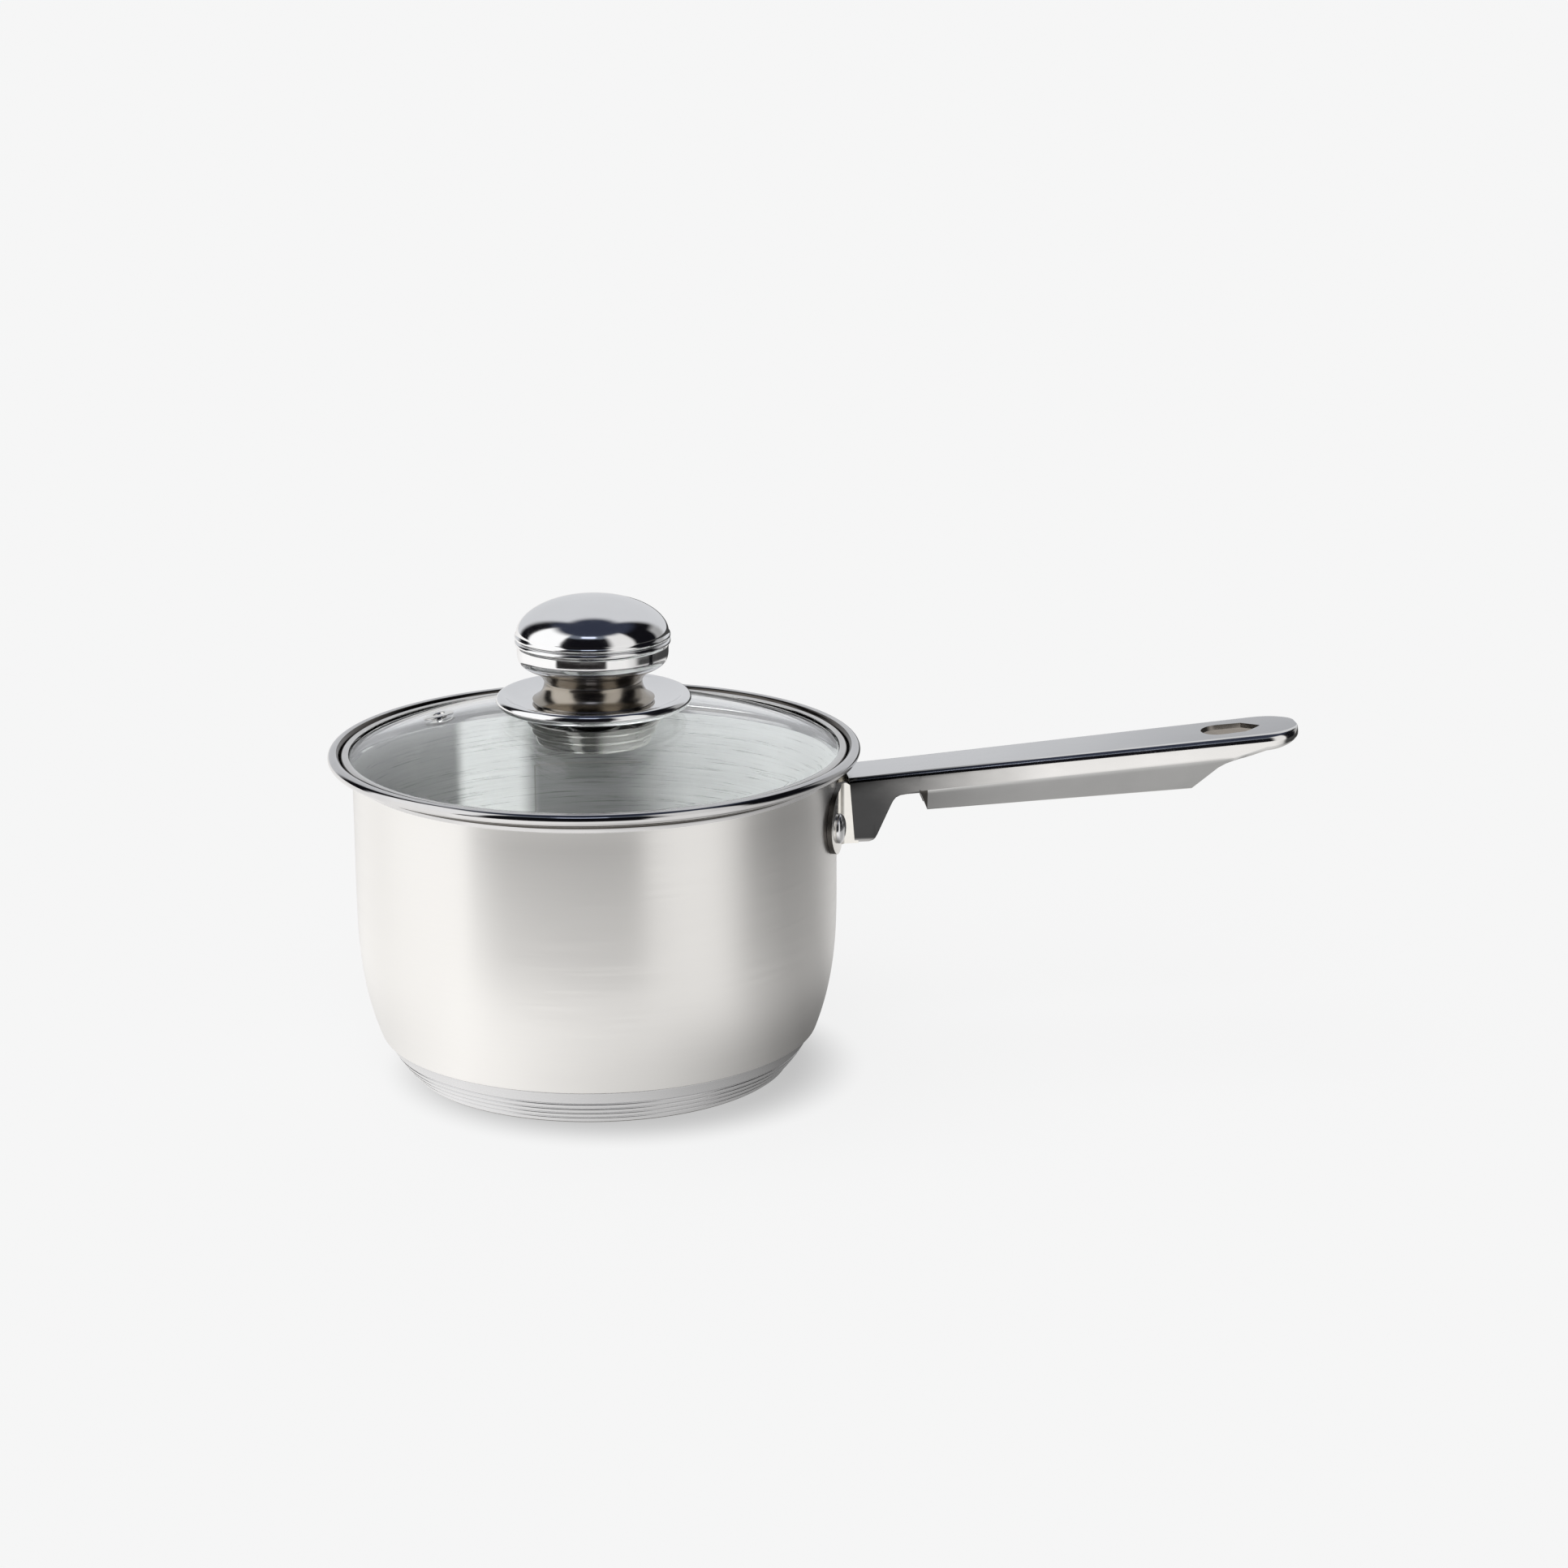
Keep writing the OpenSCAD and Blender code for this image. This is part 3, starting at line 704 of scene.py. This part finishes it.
def cut_slot(channel):
    """Cuts the hanging slot: round towards the pan, pointed towards the tip."""
    start, end, half = SLOT
    nose = 5.5
    outline = arc((start + half, 0), half, 90, 270, 24)
    outline += [(end - nose, -half + 0.6), (end - 0.5, -0.35)]
    outline += [(s, -v) for s, v in outline[:-3:-1]]
    count = len(outline)
    reach = 9
    verts = [tilted(s, v, n) for n in (-reach, reach) for s, v in outline]
    faces = [(k, (k + 1) % count, count + (k + 1) % count, count + k) for k in range(count)]
    faces += [tuple(range(count))[::-1], tuple(range(count, 2 * count))]
    cutter = make_piece("slot_cutter", verts, faces, CHANNEL_MATERIALS, [INNER_INDEX] * len(faces))
    bpy.context.view_layer.objects.active = channel
    cut = channel.modifiers.new("slot", "BOOLEAN")
    cut.operation = "DIFFERENCE"
    cut.solver = "EXACT"
    cut.object = cutter
    bpy.ops.object.modifier_apply(modifier=cut.name)
    channel.data.set_sharp_from_angle(angle=math.radians(FOLD_SHARP))
    bpy.data.objects.remove(cutter)


def ear_path():
    """Middle line in plan: round the wall from the ear's free end, round the bend, into the gusset."""
    middle = FLANGE_IN + SHEET_T / 2
    bend_y = ROOT_HALF + BEND_R
    bend_x = math.sqrt((FLANGE_IN + SHEET_T + BEND_R) ** 2 - bend_y ** 2)
    bend_angle = math.degrees(math.atan2(bend_y, bend_x))
    ear_end = math.degrees(math.asin((EAR_Y + EAR_R) / middle))
    ear_mid = math.degrees(math.asin(EAR_Y / middle))
    angles = [ear_mid + (ear_end - ear_mid) * math.sin(math.pi / 2 * i / EAR_STEPS)
              for i in range(EAR_STEPS, -1, -1)]
    angles += [ear_mid + (bend_angle - ear_mid) * i / 6 for i in range(1, 7)]
    path = [(middle * math.cos(math.radians(a)), middle * math.sin(math.radians(a))) for a in angles]
    path += arc((bend_x, bend_y), BEND_R + SHEET_T / 2, 180 + bend_angle, 270, 10)[1:]
    return path + [(PLATE_X + 1.2, ROOT_HALF - SHEET_T / 2 - 0.06)]


def ear_height(path, i, level):
    """Height of a level at a path point: a round free end, an even strap, a root under the top plate."""
    past_round = max(path[i][1] - EAR_Y, 0)
    reach = math.sqrt(max(EAR_R ** 2 - past_round ** 2, 0.01)) if i <= EAR_STEPS else EAR_R
    z = FLANGE_LOW + EAR_R - reach * math.cos(math.pi * level / EAR_LEVELS)
    top_drop = 1.7 if i == len(path) - 1 else 0
    return min(z, FLANGE_HIGH - top_drop)


def ear_faces(count):
    """Faces over that many path points, with material 0 on the sheet's faces and 1, painted shade, on its cut
    edges.
    """
    row = 2 * (EAR_LEVELS + 1)
    faces, indices = [], []
    for i in range(count - 1):
        for j in range(EAR_LEVELS):
            a, b = i * row + 2 * j, (i + 1) * row + 2 * j
            faces += [(a, a + 2, b + 2, b), (a + 1, b + 1, b + 3, a + 3)]
            indices += [0, 0]
        a, b = i * row, (i + 1) * row
        faces.append((a, b, b + 1, a + 1))
        a, b = a + row - 2, b + row - 2
        faces.append((a, a + 1, b + 1, b))
        indices += [1, 1]
    for i in (0, count - 1):
        for j in range(EAR_LEVELS):
            a = i * row + 2 * j
            faces.append((a, a + 1, a + 3, a + 2) if i == 0 else (a, a + 2, a + 3, a + 1))
            indices.append(int(i == 0))
    return faces, indices


def make_ears():
    """On each side, one sheet: the ear on the wall, the bend and the root of the gusset."""
    path = ear_path()
    inner = [side_of(path, i, SHEET_T / 2) for i in range(len(path))]
    outer = [side_of(path, i, -SHEET_T / 2) for i in range(len(path))]
    faces, indices = ear_faces(len(path))
    for side, name in ((1, "ear_rear"), (-1, "ear_front")):
        verts = []
        for i in range(len(path)):
            for level in range(EAR_LEVELS + 1):
                z = ear_height(path, i, level)
                lean = (z - PLATE_Z) * -math.tan(TILT) if i == len(path) - 1 else 0
                verts += [(x + lean, side * y, z) for x, y in (inner[i], outer[i])]
        turned_faces = faces if side > 0 else [f[::-1] for f in faces]
        ear = make_piece(name, verts, turned_faces, [EAR_POLISH, EDGE_SHADE], indices, sharp=40)
        soften = ear.modifiers.new("edge", "BEVEL")
        soften.width = 0.4 * MM
        soften.segments = 3
        soften.limit_method = "ANGLE"
        soften.angle_limit = math.radians(50)
        place_piece(ear, "pan", "handle_steel", "handle")


def head_outline():
    """A rivet head: low skirt, domed crown with a small flat."""
    crown = [(HEAD_R * math.cos(a), 0.3 + (HEAD_H - 0.3) * math.sin(a) ** 0.9)
             for a in [math.pi / 2 * i / 14 for i in range(1, 14)]]
    return [(0, -0.9), (HEAD_R - 0.5, -0.9), (HEAD_R - 0.15, 0), (HEAD_R, 0.15)] + crown + [(0, HEAD_H)]


def make_rivets():
    inner_face = (WALL_R - PAN_T) * math.cos(math.asin(HEAD_R / (WALL_R - PAN_T)))
    for side, name in ((-1, "rivet_front"), (1, "rivet_rear")):
        turn = Matrix.Rotation(math.radians(side * RIVET_AZ), 4, "Z")
        level = Matrix.Translation((0, 0, RIVET_Z))
        for out, radius, label in ((1, FLANGE_IN + SHEET_T, "outer"), (-1, inner_face, "inner")):
            face = Matrix.Translation((radius, 0, 0)) @ Matrix.Rotation(math.pi / 2 * out, 4, "Y")
            head = turned(f"{name}_{label}", head_outline(), [RIVET], place=turn @ level @ face, turns=64)
            place_piece(head, "pan", "rivet_steel", name)


# ---------------------------------------------------------------- lid
def make_lid_glass():
    centre = (0, DOME_Z - DOME_R)
    middle_r = DOME_R - GLASS_T / 2
    edge = (GLASS_EDGE_R, centre[1] + math.sqrt(middle_r ** 2 - GLASS_EDGE_R ** 2))
    lean = math.degrees(math.atan2(edge[1] - centre[1], edge[0]))
    hole = 4.0
    top_start = math.degrees(math.acos(hole / DOME_R))
    low_start = math.degrees(math.acos(hole / (DOME_R - GLASS_T)))
    outline = arc(centre, DOME_R, top_start, lean, 56)
    outline += arc(edge, GLASS_T / 2, lean, lean - 180, 14)[1:-1]
    outline += arc(centre, DOME_R - GLASS_T, lean, low_start, 56)
    glass = turned("glass_dome", outline, [GLASS], sharp=60)
    place_piece(glass, "lid", "lid_glass", "lid_glass")


def make_lid_band():
    side = BAND_R - 0.2
    round_r = 0.9
    path = [(77.75, BAND_TOP_Z - 0.35)]
    path += arc((side - round_r, BAND_TOP_Z - 0.2 - round_r), round_r, 90, 0, 10)
    path += arc((side - round_r, 102.3), round_r, 0, -75, 8)
    path += [(77.6, 100.95), (76.7, 100.45)]
    band = turned("lid_band_skin", sheet(path, 0.4, nose_start=True, nose_end=True), [BAND])
    place_piece(band, "lid", "band_steel", "lid_band")


def make_eyelet():
    lean = math.asin(VENT_RHO / DOME_R)
    place = (Matrix.Translation((0, 0, DOME_Z - DOME_R)) @ Matrix.Rotation(math.radians(VENT_AZ), 4, "Z")
             @ Matrix.Rotation(lean, 4, "Y"))
    top, low = DOME_R + 0.1, DOME_R - GLASS_T - 0.1
    crown = smooth_path([(VENT_HOLE_R, top - 0.5), (VENT_HOLE_R + 0.25, top + 0.35),
                         (VENT_HOLE_R + 1.0, top + 0.72), (EYELET_R - 0.9, top + 0.62),
                         (EYELET_R - 0.1, top + 0.25), (EYELET_R, top)], 6)
    foot = [(2.5, top), (2.5, low), (EYELET_R - 0.5, low), (EYELET_R - 0.4, low - 0.15),
            (EYELET_R - 0.9, low - 0.5), (VENT_HOLE_R + 0.3, low - 0.5), (VENT_HOLE_R, low - 0.2)]
    eyelet = turned("vent_eyelet_skin", crown + foot, [EYELET], place=place, turns=96)
    place_piece(eyelet, "lid", "eyelet_steel", "vent_eyelet")


def make_under_cup():
    well = 110.2
    points = [(2.8, well), (7.2, well), (8.1, well - 0.4), (8.5, well - 1.4), (8.9, 106.2), (9.6, 105.4),
              (16.6, 105.4), (17.6, 105.7), (18.0, 106.6), (18.1, 107.8), (18.5, 108.4), (19.2, 108.6),
              (19.5, 109.2), (19.65, 110.5), (20.0, 111), (20.6, 111.2), (20.9, 111.7), (21, 112.6)]
    path = smooth_path(points, 4)
    cup = turned("under_cup_skin", sheet(path, 0.6, nose_end=True), [UNDER])
    place_piece(cup, "lid", "under_steel", "under_lid_cup")


# ---------------------------------------------------------------- knob
def make_knob_foot():
    plate = smooth_path([(2.8, FOOT_PLATE_Z), (12, FOOT_PLATE_Z), (19, FOOT_PLATE_Z + 0.1),
                         (23.5, FOOT_PLATE_Z + 0.5), (26.2, FOOT_PLATE_Z + 1.2)], 6)
    bead = arc((FOOT_R - 1.9, 119.85), 1.5, 128, -120, 26)
    foot = turned("knob_foot_skin", sheet(plate + bead, KNOB_T, nose_end=True), [CHROME])
    place_piece(foot, "knob", "knob_chrome", "knob_foot")


def make_knob_neck():
    path = arc((WAIST_R + 6, 125.7), 6.4, 248, 180, 24) + [(WAIST_R - KNOB_T / 2, SEAM_Z)]
    # the neck wears the painted dark reflection
    neck = turned("knob_neck_skin", sheet(path, KNOB_T, nose_end=True), [CHROME_DARK_REFLECTION])
    place_piece(neck, "knob", "knob_chrome", "knob_neck")


def make_knob_cup():
    cone = [(WAIST_R - 0.3, SEAM_Z + 0.1), (WAIST_R - 0.2, SEAM_Z + 0.5), (16, 127.7), (17.3, 129),
            (19, 130.1), (20.8, 130.9), (22.2, 131.8), (23, 132.9)]
    wall = [(CAP_R - 0.6, 134.4), (CAP_R - 0.55, 136.2), (CAP_R - 0.5, 137.4)]
    path = smooth_path(cone + wall, 4)
    path += arc((SEAM_BEAD_X, CUP_BEAD_Z), SEAM_BEAD_R, -50, 120, 12)

    def zone(r, z):
        # the cone takes the painted dark reflection, the wall the plain chrome
        return int(z < CONE_TOP_Z)

    cup = turned("knob_cup_skin", sheet(path, KNOB_T), [CHROME, CHROME_DARK_REFLECTION], zone)
    place_piece(cup, "knob", "knob_chrome", "knob_cup")


def make_knob_cap():
    radius, top, steps = CAP_R - KNOB_T / 2, KNOB_Z - KNOB_T / 2, 49
    path = arc((SEAM_BEAD_X, HEM_BEAD_Z), SEAM_BEAD_R, -120, 40, 12)
    for i in range(steps):
        a = math.pi / 2 * i / steps
        path.append((radius * math.cos(a) ** 0.96, DOME_LOW_Z + (top - DOME_LOW_Z) * math.sin(a) ** 1.08))
    path += [(0.5, top), (0, top)]
    cap = turned("knob_cap_skin", sheet(path, KNOB_T), [CHROME])
    place_piece(cap, "knob", "cap_chrome", "knob_cap")


def finish_hidden_nodes():
    """Carried-over CAD nodes that only show from below or through a gap."""
    materials = {"base_core": CORE, "upper_gasket": SILICONE, "lower_gasket": SILICONE}
    materials.update(dict.fromkeys(("spring_washer", "knob_screw", "cross_plate", "threaded_boss"), FASTENER))
    for node, material in materials.items():
        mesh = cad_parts[node].data
        mesh.materials.clear()
        mesh.materials.append(material)


# ---------------------------------------------------------------- studio
def studio_axes(x, y, z):
    """From camera-aligned axes (right, away, up) in millimetres to the frame's axes in metres."""
    c, s = math.cos(VIEW_AZ), math.sin(VIEW_AZ)
    return Vector((x * c + y * s, -x * s + y * c, z)) * MM


def make_camera():
    data = bpy.data.cameras.new("camera")
    data.lens = 86.8
    data.sensor_width = 36
    data.clip_end = 100
    camera = bpy.data.objects.new("camera", data)
    bpy.context.scene.collection.objects.link(camera)
    target, spot = studio_axes(59.88, 0, 91.39), studio_axes(59.88, -1157.4, 408.3)
    look = (target - spot).to_track_quat("-Z", "Y").to_matrix().to_4x4()
    camera.matrix_world = Matrix.Translation(spot) @ look @ Matrix.Rotation(math.radians(-0.32), 4, "Z")
    bpy.context.scene.camera = camera


class Pattern(Nodes):
    """Node maths for stage lights whose colour depends on a direction or a place."""

    def polar(self, vector):
        """Azimuth from the camera's side, positive to the right, in degrees; distance; height."""
        x, y, z = self.split(vector)
        c, s = math.cos(VIEW_AZ), math.sin(VIEW_AZ)
        right = self.math("SUBTRACT", self.math("MULTIPLY", x, c), self.math("MULTIPLY", y, s))
        away = self.math("ADD", self.math("MULTIPLY", x, s), self.math("MULTIPLY", y, c))
        turn = self.math("ARCTAN2", right, self.math("MULTIPLY", away, -1))
        squares = self.math("ADD", self.math("MULTIPLY", right, right), self.math("MULTIPLY", away, away))
        return self.math("MULTIPLY", turn, 180 / math.pi), self.math("SQRT", squares), z

    def rise(self, value, start, end):
        return self.mapped(value, 0, 1, from_low=start, from_high=end)

    def between(self, value, low, high, soft_low, soft_high=None):
        """1 between low and high, each with its own width of soft edge, else 0."""
        soft_high = soft_high or soft_low
        up = self.rise(value, low - soft_low / 2, low + soft_low / 2)
        down = self.rise(value, high - soft_high / 2, high + soft_high / 2)
        return self.math("SUBTRACT", up, down)

    def ramp(self, value, stops):
        """A faintly warm grey from stops of (degrees, level)."""
        node = self.add("ShaderNodeValToRGB")
        self.link(value, node.inputs["Fac"])
        points = node.color_ramp.elements
        while len(points) < len(stops):
            points.new(0.5)
        for point, (turn, level) in zip(points, stops):
            point.position = turn / 360 + 0.5
            point.color = (level, level * 0.99, level * 0.975, 1)
        return node.outputs["Color"]


def make_world():
    """Studio surroundings by direction, in degrees: each panel is a stretch across, one upwards, a colour."""
    world = bpy.data.worlds.new("studio")
    bpy.context.scene.world = world
    world.use_nodes = True
    tree = world.node_tree
    p = Pattern(tree)
    turn, flat, up = p.polar(p.add("ShaderNodeTexCoord").outputs["Generated"])
    rise = p.math("MULTIPLY", p.math("ARCTAN2", up, flat), 180 / math.pi)
    away = p.math("ABSOLUTE", turn)
    below = -95
    strip = (p.between(turn, -52, 66, 10), p.between(rise, 47, 59, 4), (0.16, 0.18, 0.22))
    right = (p.between(turn, 31, 69, 14, 8), p.between(rise, below, 57, 1, 12), (0.88, 0.87, 0.86))
    far_right = (p.rise(turn, 109, 118), p.between(rise, below, 30, 1, 14), (0.40, 0.40, 0.40))
    left = (p.between(turn, -108, -47, 8), p.between(rise, below, 56, 1, 14), (1.15, 1.15, 1.15))
    backdrop = (p.rise(away, 128, 142), p.between(rise, below, 66, 1, 10), (0.69, 0.70, 0.72))
    window = (p.between(turn, -20, 10, 3), p.between(rise, 51, 58, 2), (1.1, 1.2, 1.5))
    colour = p.mixed(p.rise(rise, 46, 60), (0.006, 0.006, 0.008), (0.036, 0.042, 0.066))
    for across, upward, light in (strip, right, far_right, left, backdrop, window):
        colour = p.mixed(p.math("MULTIPLY", across, upward), colour, light)
    tree.links.new(colour, tree.nodes["Background"].inputs["Color"])


# brightness of the table round the pan: (degrees from the camera's side, positive right; level)
FAR_GLOW = ((-180, 0.8), (-150, 0.95), (-125, 1.12), (-60, 1.16), (-54, 1.22), (-25, 1.18), (18, 1.06),
            (30, 0.98), (52, 0.99), (70, 0.72), (90, 0.5), (112, 0.48), (135, 0.72), (180, 0.85))
NEAR_GLOW = ((-180, 0.6), (-125, 0.9), (-90, 0.95), (-45, 1.18), (-28, 1.1), (3, 0.86), (20, 0.74),
             (36, 0.58), (52, 0.42), (70, 0.26), (90, 0.17), (114, 0.17), (140, 0.3), (180, 0.6))


def stage_square(name, size, height):
    """A flat square round the origin, in metres."""
    mesh = bpy.data.meshes.new(name)
    corners = [(x * size, y * size, height) for x, y in ((-1, -1), (1, -1), (1, 1), (-1, 1))]
    mesh.from_pydata(corners, [], [(0, 1, 2, 3)])
    square = bpy.data.objects.new(name, mesh)
    bpy.context.scene.collection.objects.link(square)
    return square


def make_table():
    """What the steel mirrors of the table: bright near the pan, ending in the dark room in front."""
    table = stage_square("table", 3.0, -0.001)
    material = bpy.data.materials.new("table_glow")
    material.use_nodes = True
    tree = material.node_tree
    tree.nodes.clear()
    p = Pattern(tree)
    turn, flat, _ = p.polar(p.add("ShaderNodeTexCoord").outputs["Object"])
    wide = p.math("ADD", p.math("DIVIDE", turn, 360), 0.5)
    near, far = p.ramp(wide, NEAR_GLOW), p.ramp(wide, FAR_GLOW)
    colour = p.mixed(p.rise(flat, 0.074, 0.17), near, far)
    front = p.math("MULTIPLY", p.between(turn, -54, 23, 5, 6), p.rise(flat, 0.34, 0.43))
    colour = p.mixed(front, colour, (0.02, 0.018, 0.018))
    right = p.math("MULTIPLY", p.rise(turn, 66, 78), p.rise(flat, 0.38, 0.48))
    colour = p.mixed(right, colour, (0.06, 0.06, 0.06))
    glow = p.add("ShaderNodeEmission")
    p.link(colour, glow.inputs["Color"])
    p.link(glow.outputs[0], p.add("ShaderNodeOutputMaterial").inputs["Surface"])
    table.data.materials.append(material)
    table.visible_camera = False
    table.visible_diffuse = False
    table.visible_shadow = False
    table.visible_transmission = False


def make_floor():
    """The plain pale floor that the camera sees: even, but for a soft contact shadow round the base."""
    floor = stage_square("floor", 14.0, 0)
    material = bpy.data.materials.new("floor_paper")
    material.use_nodes = True
    tree = material.node_tree
    base = tree.nodes["Principled BSDF"]
    base.inputs["Base Color"].default_value = (0.04, 0.04, 0.04, 1)
    base.inputs["Roughness"].default_value = 1.0
    base.inputs["Specular IOR Level"].default_value = 0.0
    base.inputs["Emission Color"].default_value = (1, 1, 1, 1)
    p = Pattern(tree)
    from_middle = p.add("ShaderNodeVectorMath", operation="SUBTRACT")
    p.link(p.add("ShaderNodeTexCoord").outputs["Object"], from_middle.inputs[0])
    from_middle.inputs[1].default_value = studio_axes(8, -6, 0)
    _, flat, _ = p.polar(from_middle.outputs[0])
    light = p.math("ADD", 0.52, p.math("MULTIPLY", p.rise(flat, 0.053, 0.079), 0.33))
    p.link(light, base.inputs["Emission Strength"])
    floor.data.materials.append(material)
    floor.visible_glossy = False


def make_sun(name, spot, angle, power):
    """A wide soft lamp far away, shining from a point in studio axes towards the pan."""
    data = bpy.data.lights.new(name, "SUN")
    data.energy = power
    data.angle = math.radians(angle)
    lamp = bpy.data.objects.new(name, data)
    bpy.context.scene.collection.objects.link(lamp)
    lamp.matrix_world = (-studio_axes(*spot)).to_track_quat("-Z", "Y").to_matrix().to_4x4()
    lamp.visible_glossy = False


def make_studio():
    make_camera()
    make_world()
    make_table()
    make_floor()
    make_sun("key", (-420, 60, 1200), 46, 2.5)
    make_sun("fill", (-80, -900, 1000), 40, 2.7)
    bpy.context.scene.view_settings.view_transform = "Standard"


make_studio()
make_pan()
make_base_cap()
make_channel()
make_ears()
make_rivets()
make_lid_glass()
make_lid_band()
make_eyelet()
make_under_cup()
make_knob_foot()
make_knob_neck()
make_knob_cup()
make_knob_cap()
finish_hidden_nodes()
